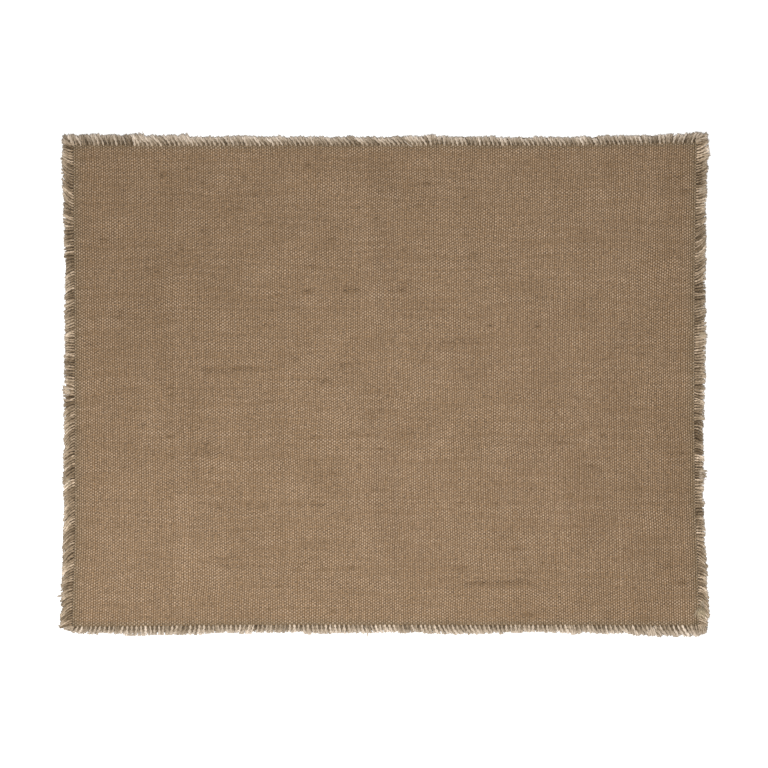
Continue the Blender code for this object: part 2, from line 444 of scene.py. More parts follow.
def clothShade(place):  # about 1 on the plain cloth, less at slubs and where shade is painted along the fold
    shade = 1 - crease["dark"] * np.exp(-(awayFromCrease(place) / crease["trough"]) ** 2)
    along = place[..., 0, None] * np.sin(waverHeading) + place[..., 1, None] * np.cos(waverHeading)
    shade = shade * (1 + weave["cloud"] * np.cos(along * waverTurns + waverStart[0]).sum(axis=-1))
    for x, y, halfLength, halfHeight, dark in lumpTable:
        across = (place[..., 0] - x) / halfLength
        up = (place[..., 1] - y) / halfHeight
        shade = shade * (1 - dark * np.exp(-across ** 2 - up ** 2))
    for x, y, reach, gain in patchTable:
        away = np.hypot(place[..., 0] / mm - x, place[..., 1] / mm - y) / reach
        shade = shade * (1 + gain * np.exp(-away ** 2))
    return shade


def clothColour(base, tone, place):
    colour = colourOf(base, tone).reshape(tone.shape + (3,))
    # painted shade along the cloth's rim, darker and greener
    for side, (along, out, way) in sideWays.items():
        inside = way * (np.interp(place[..., along], *clothEdge[side]) - place[..., out])
        share = np.exp(-(inside / weave["rimReach"]) ** 2)[..., None]
        colour = colour * (1 - share * (1 - np.array(weave["rimShadeColour"])))
    return colour.reshape(-1, 3)


def paintGapShade(material):
    # painted shade: the weft dives between each two warp yarns and is painted darkest there; the bake map
    # says where that is
    tree = material.node_tree
    shader = tree.nodes["Principled BSDF"]
    lit = shader.inputs["Base Color"].links[0].from_socket
    place = addNode(tree, "UVMap")
    place.uv_map = "OFBake"
    split = addNode(tree, "SeparateXYZ")
    turns = addNode(tree, "Math", {1: 2 * math.pi * weave["ends"] / weave["across"]})
    turns.operation = "MULTIPLY_ADD"
    turns.inputs[2].default_value = -weave["bakeMargin"][0] * turns.inputs[1].default_value
    wave = addNode(tree, "Math")
    wave.operation = "COSINE"
    onFloat, between = weave["gap"]
    span = addNode(tree, "MapRange", {"From Min": -1.0, "To Min": onFloat, "To Max": between})
    dimmed = addNode(tree, "VectorMath")
    dimmed.operation = "SCALE"
    join(place, "UV", split, "Vector")
    join(split, "X", turns, 0)
    join(turns, "Value", wave, 0)
    join(wave, "Value", span, "Value")
    tree.links.new(lit, dimmed.inputs[0])
    join(span, "Result", dimmed, "Scale")
    join(dimmed, "Vector", shader, "Base Color")


def buildWeft():
    columns, picks = weave["ribColumns"], weave["picks"]
    # narrow columns at the rims, so that their rounding doesn't reach into the cloth
    narrow = weave["rimColumn"]
    u = np.concatenate([[0], np.linspace(narrow, 1 - narrow, columns - 1), [1]])
    shape = (2 * picks + 1, columns + 1)  # valley, ridge, valley ... across the cloth
    column = (u * (weave["ends"] - 1)).astype(int)
    v = np.zeros(shape)
    v[1::2] = pickShare[:, column]
    v[2:-1:2] = (v[1:-2:2] + v[3::2]) / 2
    v[-1] = 1.0
    place = clothPlace(u[None, :], v)
    swell = pickSwell[:, column]
    top = np.full(shape, weave["ribValley"])
    top[1::2] = weave["ribTop"] + weave["ridgeUneven"] * swell
    bottom = np.minimum(outline["clothHeight"] - top, top - weave["leastWeft"])
    # painted shade: the weft is painted darker in the valleys between its ribs
    tone = np.full(shape, weave["valley"])
    # painted shade: a thick weft yarn is painted darker beside the warp that it lifts
    tone[1::2] = pickTone[:, None] * (1 - weave["pickLightAndShade"] * swell)
    tone *= clothShade(place)
    lift = liftAt(place)
    upper, lower = [np.concatenate([place, (height + lift)[..., None]], axis=-1).reshape(-1, 3)
                    for height in (top, bottom)]
    colours = clothColour(weave["weftColour"], tone, place)

    grid = np.arange(len(upper)).reshape(shape)
    a, b, c, d = grid[:-1, :-1], grid[:-1, 1:], grid[1:, 1:], grid[1:, :-1]
    upperFaces = np.stack([a, b, c, d], axis=-1).reshape(-1, 4)
    shift = grid.size
    lowerFaces = np.stack([a, d, c, b], axis=-1).reshape(-1, 4) + shift
    around = np.concatenate([grid[0, :], grid[1:, -1], grid[-1, -2::-1], grid[-2:0:-1, 0]])
    following = np.roll(around, -1)
    wall = np.stack([around, around + shift, following + shift, following], axis=-1)

    flat = np.stack(np.broadcast_arrays(u[None, :], v), axis=-1).reshape(-1, 2)
    margin = np.array(weave["bakeMargin"])
    half = np.array([weave["across"], 1 - 2 * margin[1]])  # the upper face takes the bake map's left half
    upperPlace = flat * half + margin
    pitch = weave["across"] / weave["ends"]
    lowerPlace = upperPlace + np.array([math.ceil(0.5 / pitch) * pitch, 0])
    spread = np.concatenate([
        upperPlace[upperFaces.ravel()],
        lowerPlace[(lowerFaces - shift).ravel()],
        upperPlace[wall.ravel() % shift],
    ])
    paintGapShade(weftFinish)
    return newMesh("weftRibs", np.concatenate([upper, lower]), [upperFaces, lowerFaces, wall],
                   np.concatenate([colours, colours]), spread, weftFinish)


def buildWarp(name, first, last):
    # warp yarns first to last - 1, one ring at each pick: over it or under it, turn about
    ends = np.arange(first, last)
    picks, sides = weave["picks"], weave["warpSides"]
    swell = pickSwell[:, ends].T
    place = clothPlace(endShare[ends][:, None], pickShare[:, ends].T)
    over = (ends[:, None] + np.arange(picks)[None, :]) % 2 == 0
    shape = over.shape
    place += weave["sway"] * weaveRandom.uniform(-1, 1, shape + (2,))
    fat = 1 + weave["warpUneven"] * (weaveRandom.uniform(-1, 1, shape) + 0.5 * swell)
    thick = weave["warpThickness"] * (1 + weave["warpUneven"] * weaveRandom.uniform(-1, 1, shape))
    bottom = np.where(over, outline["clothHeight"] - weave["warpThickness"], 0.0) + liftAt(place)
    centres, across = level(place[..., 0], place[..., 1]), level(np.ones(shape), 0)
    halfWidth = weave["warpHalfWidth"] * fat
    points = tubeMesh(centres, across, halfWidth, bottom + thick, bottom, sides, -np.pi / 2)

    # painted shade: the warp is painted darker where it dips under the weft
    tone = np.where(over, 1.0, weave["paintedDipShade"]) * endTone[ends][:, None]
    tone = tone * (1 + weave["mottle"] * weaveRandom.uniform(-1, 1, shape)) * clothShade(place)
    # painted light: the warp is painted lighter where a thick weft yarn lifts it
    tone = tone * (1 + weave["pickLightAndShade"] * swell)
    tones = np.repeat(tone[..., None], sides, axis=2)
    colours = clothColour(weave["warpColour"], tones, place[:, :, None])
    return tubePiece(name, points, colours, warpFinish, len(ends))


def buildSlubs():
    # each lump is a lens of thick weft that swells up between the warp yarns
    rings, sides = slub["rings"], slub["sides"]
    t = np.linspace(-1, 1, rings)[None, :]
    x, y, halfLength, halfHeight, dark = [column[:, None] for column in lumpTable.T]
    centres = level(x + halfLength * t, y)
    taper = np.sqrt(np.clip(1 - t ** 2, 0.02, 1))
    across = level(0, np.ones(centres.shape[:2]))
    top = weave["ribTop"] + slub["swell"] * taper + liftAt(centres)
    points = tubeMesh(centres, across, slub["core"] * halfHeight * taper, top, top - slub["depth"], sides)
    tone = np.repeat((slub["shade"] - dark) * np.ones(rings)[None, :], sides, axis=1)
    return tubePiece("slubs", points, colourOf(slub["colour"], tone), slubFinish, slub["lanes"])


weftRibs = buildWeft()
third = weave["ends"] // 3
warpPieces = [
    buildWarp("warpLeft", 0, third),
    buildWarp("warpMiddle", third, 2 * third),
    buildWarp("warpRight", 2 * third, weave["ends"]),
]
slubs = buildSlubs()
print("woven", weave["ends"], "ends by", weave["picks"], "picks")

fringe = {
    "rings": 7,
    "plySides": 4,
    "fanReach": 24.0 * mm,  # how far from a corner the tips begin to spread into it
    "fanShare": 0.34,  # the share of the corner that they fill
    "crowding": 4.0 * mm,  # tips that would lean past a corner crowd into about this much
    "tipRun": 16,  # the tips' steps are kept in bounds over runs of so many
    "bowShare": 0.16,  # how far an end bows for each metre that its tip leans
    "bunchSize": (2, 7),  # neighbouring ends that hang together
    "bunchLean": 9.0,  # degrees
    "bunchReach": 0.35 * mm,
    "endTone": 0.13,
    "leastTone": 0.5,
    "fat": (0.82, 1.18),
    "drop": 0.55,  # the share of its length on which an end comes down to lie
    "lieUneven": 0.15 * mm,
    "phase": 0.5,  # radians
    "twistUneven": (0.8, 1.2),
    "windHeight": 0.7,  # how far two plies rise over each other, to how far they lie apart
    "plyHeight": 0.8,  # height of a ply to its width
    "clearance": 0.02 * mm,  # above the table
    "toneMarks": [0, 0.3, 0.6, 1],  # where the four shades of upper and lower lie
    # share of the way from root to tip, and what it is there
    "paling": ([0, 0.3, 0.75, 1], [0, 0.3, 0.9, 1.0]),
    "plyAlong": ([0, 0.15, 0.5, 0.8, 1.0], [0.80, 0.95, 1.1, 1.2, 0.9]),
    "mixed": 0.4,  # how far an upper and a lower end may come to each other's height
    "overHeights": (1.30 * mm, 1.00 * mm),  # middle of the yarn where it leaves the cloth, and outside
    "underHeights": (0.45 * mm, 0.50 * mm),
}

# warp ends stand out at the far and near side, thinner and browner weft ends at the left and right
# ply: half a ply's width; apart: how far it lies from the middle, times opening at the cut
# fibres: loose ones on each end; ragged: how far a tip falls short of the cut line, at most
# pull: how much the tips of a bunch draw together; lean: its stray in degrees; tipSteps: least and
# most from tip to tip, as a share of the pitch; patches: how much the shade changes along an end
# upper and lower: painted light and shade from root to tip of an end that leaves over the cloth's last yarn,
# and under it
warpEnd = {
    "ply": 0.58 * mm, "apart": 0.42 * mm, "opening": 1.7, "twists": 1.3, "fibres": 7, "ragged": 1.1 * mm,
    "pull": 0.25, "lean": 4.0, "bow": 0.15 * mm, "tipSteps": (0.35, 1.5), "bunchTone": 0.10, "patches": 0.20,
    "root": (0.345, 0.264, 0.182), "tip": (0.482, 0.400, 0.314), "fibre": (0.660, 0.580, 0.485),
    "upper": (1.15, 1.03, 0.89, 1.26), "lower": (0.21, 0.25, 0.37, 1.12),
}
weftEnd = {
    "ply": 0.42 * mm, "apart": 0.30 * mm, "opening": 1.3, "twists": 1.6, "fibres": 6, "ragged": 0.8 * mm,
    "pull": 0.50, "lean": 8.0, "bow": 0.35 * mm, "tipSteps": (0.2, 1.8), "bunchTone": 0.25, "patches": 0.42,
    "root": (0.335, 0.242, 0.155), "tip": (0.355, 0.276, 0.192), "fibre": (0.560, 0.475, 0.370),
    "upper": (1.12, 0.97, 0.80, 1.36), "lower": (0.27, 0.28, 0.37, 1.22),
}
# more warp ends fan out into each corner
fan = {
    "ends": 6,
    "first": 0.14,  # shares of the corner's right angle
    "across": 0.72,
    "stray": 0.08,  # radians
    "reach": 0.96,  # share of the way to the fringe's outline
    "inside": 0.12,  # share of their length by which they start inside the corner
    "bow": 0.35 * mm,
    "fat": 1.25,
    "tone": (0.6, 1.0),
}
# each side's own shade, at the root and at the tip
sideTone = {"top": (1.06, 1.01), "bottom": (1.18, 0.85), "left": (1.00, 0.93), "right": (1.05, 0.99)}
# how far inside the cloth's edge a side's yarn ends come loose
rootInside = {"top": 1.1 * mm, "bottom": 0.4 * mm, "left": 0.2 * mm, "right": 0.2 * mm}
freedYarn = {"top": warpEnd, "bottom": warpEnd, "left": weftEnd, "right": weftEnd}
# an end leaves over the last yarn of the cloth, or under it, as the weave there has it
crossing = {"top": weave["picks"] - 1, "bottom": 0, "left": 1, "right": weave["ends"]}
reachMore = {"top": -0.1 * mm, "bottom": 1.2 * mm, "left": 0.1 * mm, "right": 0.4 * mm}
# 1 where the fringe's corner is square, 0 where it is cut off
squareness = {("top", 0): 1.0, ("top", -1): 1.0, ("bottom", 0): 0.1, ("bottom", -1): 0.8}

# columns: place along the side in mm, lean of the yarn ends in degrees (+ is to the right, or far)
leanTable = {
    "top": [(-216, -35), (-185, -30), (-173, 0), (-163, -45), (-120, -32), (-80, -42), (-35, -32),
            (-5, -45), (38, -20), (105, -28), (150, -42), (180, -22), (198, 5), (212, 40)],
    "bottom": [(-216, -40), (-190, -25), (-162, 12), (-139, -20), (-110, 5), (-94, -22),
               (-40, 20), (50, 32), (105, 8), (130, 38), (214, 42)],
    "left": [(-165, -42), (-130, -35), (-95, -40), (-60, -32), (-20, -40), (0, 10), (20, 5),
             (50, -40), (90, -15), (110, 0), (130, 38), (150, 22), (164, 45)],
    "right": [(-165, -30), (-140, -20), (-118, -50), (-95, -8), (-70, 10), (-42, -32),
              (10, 5), (50, 16), (90, 38), (115, 20), (140, 30), (164, 42)],
}

# bunches that stand out
# columns: place along the side, half width in mm, lean in degrees, reach past the cut in mm, paleness
bunchTable = {
    "top": [(-173, 2, 0, 0.5, 1.10), (-165, 4, -50, 0.2, 1.18), (-134, 4, -44, 0.4, 1.18),
            (-99, 5, -25, 0.2, 1.12), (-69, 2, -40, 0.0, 1.15), (-9, 3, -30, 0.3, 1.12),
            (20, 7, -35, 0.0, 1.15), (41, 5, -15, 0.3, 1.15), (214, 5, 42, 0.6, 1.0)],
    "bottom": [(-220, 8, -40, -1.8, 1.0), (-80, 2, 10, 0.0, 1.12), (-65, 4, -5, 0.3, 1.12),
               (-54, 3, 20, 0.3, 1.12), (127, 3, 40, 0.2, 1.12), (154, 3, 30, 0.4, 1.12),
               (190, 12, 40, -0.4, 1.10)],
    "left": [(145, 3, 25, 0.8, 1.25), (-5, 4, 5, 0.3, 1.25), (-66, 4, -20, 0.4, 1.25),
             (-89, 5, -45, 0.6, 1.10), (-138, 2, -10, 0.8, 1.1), (-150, 2, -20, -1.2, 0.85)],
    "right": [(157, 3, 20, 1.2, 1.15), (133, 2, 20, 0.2, 1.25), (126, 3, 10, 0.3, 1.2),
              (34, 2, 5, 0.2, 1.25), (4, 3, 0, 0.2, 1.2), (-21, 2, -60, 0.0, 0.75),
              (-62, 5, 5, 0.6, 1.2), (-82, 2, -10, 0.6, 1.2), (-152, 5, -55, 0.6, 1.1)],
}

fluff = {
    "length": (0.9 * mm, 2.3 * mm),
    "radius": 0.08 * mm,
    "radiusUneven": (0.7, 1.3),
    "from": 0.40,  # the share of the yarn end where the first fibres come loose
    "short": 0.7,  # those before this share are shorter, by the same factor
    "spread": 26.0,  # degrees
    "aside": 1.4,  # how far off the middle they start, to half a ply's width
    "above": (-0.4, 1.0),  # and above it
    "curl": 0.12,  # as a share of the fibre's length
    "lift": (-0.25, 0.30),
    "lowest": (0.12 * mm, 0.05 * mm),  # of its middle, and of its point
    "rings": ((0.0, 1.0), (0.5, 0.75)),  # share of the length, and of the radius
    "toneUneven": 0.12,
}

# a thin dark band under the yarn ends: painted shadow that shows between them
shadowBand = {
    "steps": 150,
    "inside": 0.8 * mm,
    "reach": (0.78, 0.94),  # share of the fringe's depth
    "height": (0.05 * mm, 0.40 * mm),
    "rootTone": 0.20,
    "rimTone": 0.75,
    "uneven": (0.8, 1.2),
}

# a fringe piece's bake map, from the bottom up: start and height of each part
bakeRows = {"plies": (0.0, 0.70), "fibres": (0.71, 0.26), "shadowBand": (0.973, 0.025)}
plyLanes = 72

# single yarns that lie loose
# columns: start x and y in mm, heading in degrees, length and half width in mm, bend in degrees,
# height in mm, paleness
strayTable = [
    (12, 171, -52, 9, 0.30, 25, 1.9, 1.15), (-15, -167, -40, 8, 0.55, -60, 1.3, 1.1),
    (222, 157, 10, 4, 0.35, 20, 0.9, 1.0), (-221, 146, 175, 2.5, 0.6, 10, 0.8, 0.8),
    (-220, -146.5, 182, 5.4, 0.7, 10, 1.5, 0.8), (-221, -165, 217, 5, 0.45, -15, 0.8, 0.8),
]

# combed-out tufts
# columns: middle of the root x and y in mm, heading in degrees, length and width in mm, fibres,
# height in mm, paleness
tuftTable = [
    (220, -153, -93, 9, 5, 40, 1.7, 0.70), (218, -150, -40, 6, 3, 12, 1.9, 0.75),
    (-134, 167, 130, 7, 4, 40, 1.5, 1.0), (-165, 167, 135, 7, 4, 40, 1.4, 1.0),
    (-216, -5, 180, 6, 5, 40, 1.2, 0.85), (-216, -67, 185, 6, 6, 40, 1.2, 0.85),
    (217, 134, 10, 6, 3, 30, 1.2, 0.85), (217, 34, 0, 6, 3, 30, 1.2, 0.8),
    (217, -62, -5, 6, 6, 50, 1.2, 0.85), (184, -168, -55, 5.5, 7, 40, 1.4, 1.0),
]
tuft = {
    "back": (0, 0.25),  # where a strand starts, as a share of the length
    "spread": 9.0,  # degrees
    "bend": 25.0,
    "length": (0.55, 0.9),
    "radius": 0.20 * mm,
    "radiusUneven": (0.7, 1.4),
    "heightUneven": (-0.3, 0.3),  # mm
    "toneUneven": (0.85, 1.15),
}
strand = {
    "rings": 5,
    "sides": 3,
    "lanes": 24,
    "radius": ([0, 0.25, 0.75, 1], [0.5, 1, 0.9, 0.2]),  # share of the way, and of the value there
    "height": ([0, 1], [1.0, 0.7]),
    "olive": (0.8, 0.12),  # those darker than the first lose the second share of their blue
}


def cornerFan(side, end, rng):
    # yarn ends round one corner, from this side's last end to the next side's first
    nextSide = "left" if end == 0 else "right"
    corner = sideCorner(side, end)
    outerX = np.interp(corner[1], *cutLine[nextSide])
    outerY = np.interp(corner[0], *cutLine[side])
    share = (np.arange(fan["ends"]) + 0.5) / fan["ends"]
    angle = np.pi / 2 * (fan["first"] + fan["across"] * share)
    angle = angle + fan["stray"] * rng.standard_normal(len(share))
    square, straight = 1 / np.maximum(np.sin(angle), np.cos(angle)), 1 / (np.sin(angle) + np.cos(angle))
    bulge = fan["reach"] * (straight + squareness[side, end] * (square - straight))
    root, tip, bow = np.zeros((3, len(share), 3))
    tip[:, 0] = corner[0] + (outerX - corner[0]) * np.sin(angle) * bulge
    tip[:, 1] = corner[1] + (outerY - corner[1]) * np.cos(angle) * bulge
    root[:, :2] = corner - fan["inside"] * (tip[:, :2] - corner)
    bow[:, :2] = fan["bow"] * rng.standard_normal((len(share), 2))
    return root, tip, bow


def crowd(away):  # leaves what is far away, and brings back what is past the corner
    return (away + np.sqrt(away ** 2 + fringe["crowding"] ** 2)) / 2


def layYarnEnds(side, rng):
    # root, tip and bow of each yarn end of a side, and its paleness
    along, out, way = sideWays[side]
    onEdge = 1.0 if way > 0 else 0.0
    share = endShare if along == 0 else pickShare[:, -int(onEdge)]
    edge = clothPlace(share, onEdge) if along == 0 else clothPlace(onEdge, share)
    count = len(share)
    place = edge[:, along]
    low, high = place[0], place[-1]

    lean = np.interp(place / mm, *zip(*leanTable[side]))
    yarn = freedYarn[side]
    lean = lean + yarn["lean"] * rng.standard_normal(count)
    reach = reachMore[side] - yarn["ragged"] * rng.random(count) ** 1.5
    tone = 1 + fringe["endTone"] * rng.standard_normal(count)
    bunches = []
    start = 0
    while start < count:
        bunches.append(slice(start, start + int(rng.integers(*fringe["bunchSize"]))))
        start = bunches[-1].stop
    for bunch in bunches:
        lean[bunch] += fringe["bunchLean"] * rng.standard_normal()
        reach[bunch] += fringe["bunchReach"] * rng.standard_normal()
        tone[bunch] += yarn["bunchTone"] * rng.standard_normal()
    for middle, halfWidth, bunchLean, further, paleness in bunchTable[side]:
        share = np.exp(-((place / mm - middle) / halfWidth) ** 2)
        lean += share * (bunchLean - lean)
        reach += share * further * mm
        tone *= 1 + share * (paleness - 1)

    # the tips lean, draw together in bunches and spread into the corners
    depth = way * (np.interp(place, *cutLine[side]) - edge[:, out])
    nextSides = ("left", "right") if along == 0 else ("bottom", "top")
    spare = [fringe["fanShare"] * abs(np.interp(edge[end, out], *cutLine[name]) - place[end])
             for end, name in zip((0, -1), nextSides)]
    fanLow = np.clip(1 - (place - low) / fringe["fanReach"], 0, 1) ** 2 * spare[0]
    fanHigh = np.clip(1 - (high - place) / fringe["fanReach"], 0, 1) ** 2 * spare[1]
    tipPlace = place + depth * np.tan(np.radians(lean)) - fanLow + fanHigh
    tipPlace = low - spare[0] + crowd(tipPlace - low + spare[0])
    tipPlace = high + spare[1] - crowd(high + spare[1] - tipPlace)
    for bunch in bunches:
        tipPlace[bunch] += yarn["pull"] * (tipPlace[bunch].mean() - tipPlace[bunch])
    pitch = (high - low) / (count - 1)
    least, most = yarn["tipSteps"]  # so that no notch opens down to the cloth
    steps = np.clip(np.diff(tipPlace), least * pitch, most * pitch)
    strayed = tipPlace[0] + np.append(0, np.cumsum(steps)) - tipPlace
    run = fringe["tipRun"]
    knots = np.append(np.arange(0, count - run // 2, run), count - 1)
    tipPlace = tipPlace + strayed - np.interp(np.arange(count), knots, strayed[knots])

    root, tip, bow = np.zeros((3, count, 3))
    root[:, along] = place
    root[:, out] = edge[:, out] - way * rootInside[side]
    tip[:, along] = tipPlace
    tip[:, out] = np.interp(tipPlace, *cutLine[side]) + way * reach
    bow[:, along] = (place - tipPlace) * fringe["bowShare"] + yarn["bow"] * rng.standard_normal(count)
    if along == 0:
        fans = [cornerFan(side, end, rng) for end in (0, -1)]
        root, tip, bow = [np.concatenate(parts) for parts in zip((root, tip, bow), *fans)]
        tone = np.append(tone, rng.uniform(*fan["tone"], 2 * fan["ends"]))
    return root, tip, bow, np.maximum(tone, fringe["leastTone"])


def twistPlies(side, root, tip, bow, tone, rng):
    # two plies for each yarn end, wound round each other and lying side by side at the cut
    count = len(root)
    over = (np.arange(count) + crossing[side]) % 2 == 0
    yarn = freedYarn[side]
    fat = rng.uniform(*fringe["fat"], count)[:, None]
    if sideWays[side][0] == 0:
        fat[-2 * fan["ends"]:] *= fan["fat"]
    t = np.linspace(0, 1, fringe["rings"])[None, :]
    line = root[:, None] * (1 - t[..., None]) + tip[:, None] * t[..., None]
    line = line + bow[:, None] * np.sin(np.pi * t)[..., None]
    heading = (tip - root) / np.linalg.norm(tip - root, axis=1, keepdims=True)
    sideways = level(-heading[:, 1], heading[:, 0])[:, None]

    rise = fringe["mixed"] * rng.random(count) ** 2
    rise = np.where(over, 1 - rise, rise)[:, None]
    heights = zip(fringe["underHeights"], fringe["overHeights"])
    leave, lie = [low + (high - low) * rise for low, high in heights]
    lie = lie + fringe["lieUneven"] * rng.random(count)[:, None]
    height = leave + (lie - leave) * smoothStep(np.clip(t / fringe["drop"], 0, 1))
    radius = yarn["ply"] * fat * np.interp(t, *fringe["plyAlong"])
    gap = yarn["apart"] * fat * np.interp(t, [0, 0.2, 0.6, 1.0], [0.75, 1.0, 1.2, yarn["opening"]])
    phase = rng.normal(0, fringe["phase"], count)[:, None] + np.pi * rng.integers(0, 2, count)[:, None]
    twist = 2 * np.pi * yarn["twists"] * rng.uniform(*fringe["twistUneven"], count)[:, None]
    turn = twist * (t - 1) + phase

    # painted light and shade: an end that leaves over the cloth is painted lighter, one that leaves under it
    # darker, most at its root
    upper, lower = [np.interp(t, fringe["toneMarks"], yarn[row]) for row in ("upper", "lower")]
    shade = (lower + (upper - lower) * rise) * tone[:, None] * np.interp(t, [0, 1], sideTone[side])
    shade = shade * (1 + yarn["patches"] * drift(rng, count, fringe["rings"], 2))
    paling = np.interp(t, *fringe["paling"])[..., None]
    colour = (1 - paling) * np.array(yarn["root"]) + paling * np.array(yarn["tip"])
    colour = colour * shade[..., None] ** warmth

    rings = []
    for halfTurn in (0, np.pi):
        middle = line + (gap * np.cos(turn + halfTurn))[..., None] * sideways
        top = height + fringe["windHeight"] * gap * np.sin(turn + halfTurn) + fringe["plyHeight"] * radius
        bottom = top - 2 * fringe["plyHeight"] * radius
        sink = np.minimum(bottom - fringe["clearance"], 0)  # nothing goes below the table
        wide = np.broadcast_to(sideways, middle.shape)
        rings.append(tubeMesh(middle, wide, radius, top - sink, bottom - sink, fringe["plySides"]))
    points = np.concatenate(rings).reshape(-1, 3)
    colours = np.repeat(np.concatenate([colour, colour]), fringe["plySides"], axis=1).reshape(-1, 3)
    return points, colours, lie[:, 0]


def loosenFibres(side, root, tip, bow, lie, rng):
    # fine tapering fibres that stand off the outer part of each yarn end
    ends = len(root) - (2 * fan["ends"] if sideWays[side][0] == 0 else 0)
    yarn = np.repeat(np.arange(ends), freedYarn[side]["fibres"])
    count = len(yarn)
    at = rng.uniform(fluff["from"], 1.0, count)
    plyWidth = freedYarn[side]["ply"]
    base = root[yarn] + (tip - root)[yarn] * at[:, None] + bow[yarn] * np.sin(np.pi * at)[:, None]
    heading = np.arctan2(tip[yarn, 1] - root[yarn, 1], tip[yarn, 0] - root[yarn, 0])
    heading = heading + np.radians(rng.normal(0, fluff["spread"], count))
    forward, sideways = level(np.cos(heading), np.sin(heading)), level(-np.sin(heading), np.cos(heading))
    base = base + sideways * (plyWidth * rng.uniform(-fluff["aside"], fluff["aside"], count))[:, None]
    length = rng.uniform(*fluff["length"], count) * np.where(at < fluff["short"], fluff["short"], 1.0)
    curl = rng.normal(0, fluff["curl"], count) * length
    thick = fluff["radius"] * rng.uniform(*fluff["radiusUneven"], count)
    height = lie[yarn] + plyWidth * rng.uniform(*fluff["above"], count)
    lift = rng.uniform(*fluff["lift"], count) * length

    rings = []
    for step, taper in fluff["rings"]:
        middle = base + forward * (length * step)[:, None] + sideways * (curl * step ** 2)[:, None]
        middle[:, 2] = np.maximum(height + lift * step, fluff["lowest"][0])
        for angle in (np.pi / 2, np.pi * 7 / 6, np.pi * 11 / 6):
            corner = middle + sideways * (thick * taper * np.cos(angle))[:, None]
            corner[:, 2] += thick * taper * np.sin(angle)
            rings.append(corner)
    point = base + forward * length[:, None] + sideways * curl[:, None]
    point[:, 2] = np.maximum(height + lift, fluff["lowest"][1])
    rings.append(point)
    points = np.stack(rings, axis=1).reshape(-1, 3)

    walls = np.array([[0, 1, 4, 3], [1, 2, 5, 4], [2, 0, 3, 5]])
    spikes = np.array([[3, 4, 6], [4, 5, 6], [5, 3, 6], [2, 1, 0]])
    starts = len(rings) * np.arange(count)[:, None, None]
    quads = (starts + walls).reshape(-1, 4)
    triangles = (starts + spikes).reshape(-1, 3)
    tone = 1 + fluff["toneUneven"] * rng.standard_normal(count)
    colours = np.repeat(colourOf(freedYarn[side]["fibre"], tone), len(rings), axis=0)

    lanes = math.ceil(math.sqrt(count))
    cell = np.stack([np.arange(count) % lanes, np.arange(count) // lanes], axis=1) / lanes
    around = np.array([(0.1, 0.1), (0.5, 0.1), (0.9, 0.1), (0.1, 0.5), (0.5, 0.5), (0.9, 0.5), (0.5, 0.9)])
    place = (cell[:, None] + around[None] / lanes).reshape(-1, 2)
    spread = np.concatenate([place[quads.ravel()], place[triangles.ravel()]])
    return points, quads, triangles, colours, spread


def layShadowBand(side, rng):
    # one thin band of painted shadow along the side, its outer rim ragged
    along, out, way = sideWays[side]
    first, last = clothEdge[side][0][0], clothEdge[side][0][-1]
    place = np.linspace(first, last, shadowBand["steps"])
    edge = np.interp(place, *clothEdge[side])
    depth = np.interp(place, *cutLine[side]) - edge
    inner = edge - way * shadowBand["inside"]
    outer = edge + depth * rng.uniform(*shadowBand["reach"], shadowBand["steps"])
    low, high = shadowBand["height"]
    points = np.zeros((shadowBand["steps"], 4, 3))
    points[..., along] = place[:, None]
    for k, (line, height) in enumerate([(inner, low), (outer, low), (outer, 2 * low), (inner, high)]):
        points[:, k, out] = line
        points[:, k, 2] = height
    if (way > 0) == (along == 0):  # so that the faces look outwards
        points = points[:, ::-1]
    rim = np.abs(points[..., out] - inner[:, None]) > shadowBand["inside"]
    tone = np.where(rim, shadowBand["rimTone"], shadowBand["rootTone"])
    tone = tone * rng.uniform(*shadowBand["uneven"], (shadowBand["steps"], 1))
    return points.reshape(-1, 3), colourOf(freedYarn[side]["root"], tone)


def intoRow(spread, part):  # its own part of the bake map
    start, height = bakeRows[part]
    return spread * np.array([1.0, height]) + np.array([0.0, start])


def fringeSide(side, seed):
    rng = np.random.default_rng(seed)
    root, tip, bow, tone = layYarnEnds(side, rng)
    points, colours, lie = twistPlies(side, root, tip, bow, tone, rng)
    tubes = 2 * len(root)
    walls, caps = tubeFaces(tubes, fringe["rings"], fringe["plySides"])
    spread = intoRow(tubeSpread(tubes, fringe["rings"], fringe["plySides"], plyLanes), "plies")
    loosePoints, quads, triangles, looseColours, looseSpread = loosenFibres(side, root, tip, bow, lie, rng)
    shadowBandPoints, shadowBandColours = layShadowBand(side, rng)
    shadowBandWalls, shadowBandCaps = tubeFaces(1, shadowBand["steps"], 4)
    shadowBandSpread = intoRow(tubeSpread(1, shadowBand["steps"], 4, 1)[:, ::-1], "shadowBand")
    shift = len(points)
    shadowBandShift = shift + len(loosePoints)
    faces = [walls, caps, quads + shift, triangles + shift, shadowBandWalls + shadowBandShift, shadowBandCaps + shadowBandShift]
    return newMesh("fringe" + side.capitalize(), np.concatenate([points, loosePoints, shadowBandPoints]), faces,
                   np.concatenate([colours, looseColours, shadowBandColours]),
                   np.concatenate([spread, intoRow(looseSpread, "fibres"), shadowBandSpread]), fringeFinish)


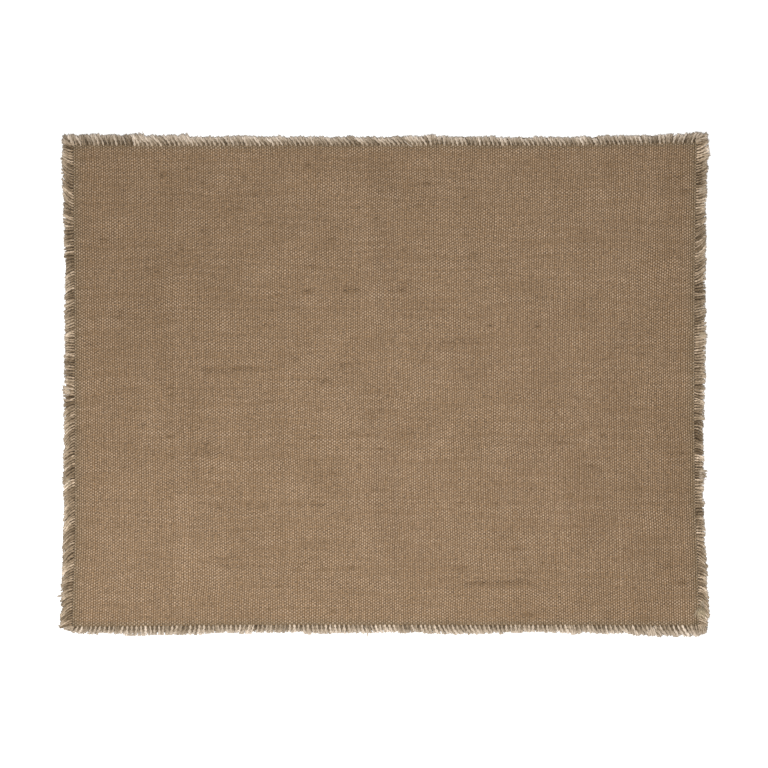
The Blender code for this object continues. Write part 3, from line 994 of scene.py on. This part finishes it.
def buildStrays():
    # loose yarns and combed tufts, each strand bent evenly along its length and thinner at both ends
    rng = np.random.default_rng(31)
    strands = list(strayTable)
    for x, y, heading, length, width, count, height, paleness in tuftTable:
        turn = math.radians(heading)
        for _ in range(count):
            off = rng.uniform(-0.5, 0.5) * width
            back = rng.uniform(*tuft["back"]) * length
            strands.append((x - off * math.sin(turn) + back * math.cos(turn),
                            y + off * math.cos(turn) + back * math.sin(turn),
                            heading + rng.normal(0, tuft["spread"]),
                            length * rng.uniform(*tuft["length"]),
                            tuft["radius"] / mm * rng.uniform(*tuft["radiusUneven"]),
                            tuft["bend"] * rng.standard_normal(),
                            height + rng.uniform(*tuft["heightUneven"]),
                            paleness * rng.uniform(*tuft["toneUneven"])))
    columns = [np.array(column)[:, None] for column in zip(*strands)]
    x, y, heading, length, halfWidth, bend, height, paleness = columns
    rings, sides = strand["rings"], strand["sides"]
    t = np.linspace(0, 1, rings)[None, :]
    angle = np.radians(heading + bend * t)
    step = length * mm / (rings - 1)
    across = level(-np.sin(angle), np.cos(angle))
    centres = level(x * mm + np.cumsum(np.cos(angle), axis=1) * step,
                    y * mm + np.cumsum(np.sin(angle), axis=1) * step)
    radius = halfWidth * mm * np.interp(t, *strand["radius"])
    middle = height * mm * np.interp(t, *strand["height"])
    points = tubeMesh(centres, across, radius, middle + radius, middle - 0.5 * radius, sides)
    paleness = np.repeat(paleness, rings * sides, axis=1)
    darker, blueLoss = strand["olive"]
    olive = 1 - np.array([0, 0, blueLoss]) * (paleness.reshape(-1, 1) < darker)
    colours = colourOf(warpEnd["tip"] * olive, paleness)
    return tubePiece("looseYarns", points, colours, fringeFinish, strand["lanes"])


fringes = {side: fringeSide(side, seed) for seed, side in enumerate(sideWays, start=20)}
looseYarns = buildStrays()
print("fringed", len(fringes), "sides")

for piece in [weftRibs, slubs] + warpPieces:
    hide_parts("cloth")
    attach(piece, "root")
for side, piece in fringes.items():
    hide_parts("fringe_" + side)
    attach(piece, "root")
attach(looseYarns, "root")

studio = {
    "floorSize": 8.0,
    "floorBelow": 0.03 * mm,
    "floorColour": (0.95, 0.95, 0.95, 1.0),
    "floorRoughness": 0.9,
    "skyStrength": 0.50,
    "keyPower": 7.9,  # watts
    "keySize": 0.5,
    "keyPlace": (-0.06, -0.20, 0.75),
    "cameraHeight": 2.2,
    "frameWidth": 0.5325,  # the picture's width on the mat
}


def buildStudio():
    bpy.ops.mesh.primitive_plane_add(size=studio["floorSize"], location=(0, 0, -studio["floorBelow"]))
    floor = bpy.context.object
    floor.name = "floor"
    paint = bpy.data.materials.new("paleFloor")
    paint.use_nodes = True
    shader = paint.node_tree.nodes["Principled BSDF"]
    shader.inputs["Base Color"].default_value = studio["floorColour"]
    shader.inputs["Roughness"].default_value = studio["floorRoughness"]
    floor.data.materials.append(paint)

    world = bpy.data.worlds.new("studioSky")
    bpy.context.scene.world = world
    world.use_nodes = True
    sky = world.node_tree.nodes["Background"]
    sky.inputs["Color"].default_value = (1, 1, 1, 1)
    sky.inputs["Strength"].default_value = studio["skyStrength"]

    lamp = bpy.data.lights.new("softKey", "AREA")
    lamp.shape = "DISK"
    lamp.size = studio["keySize"]
    lamp.energy = studio["keyPower"]
    key = addObject("softKey", lamp)
    key.location = studio["keyPlace"]
    key.rotation_euler = (-Vector(studio["keyPlace"])).to_track_quat("-Z", "Y").to_euler()
    key.visible_camera = False

    lens = bpy.data.cameras.new("aboveMat")
    lens.sensor_width = 36.0
    lens.lens = lens.sensor_width * studio["cameraHeight"] / studio["frameWidth"]
    camera = addObject("aboveMat", lens)
    camera.location = (0, 0, studio["cameraHeight"])
    bpy.context.scene.camera = camera
    bpy.context.scene.view_settings.view_transform = "Standard"


buildStudio()
print("studio set")
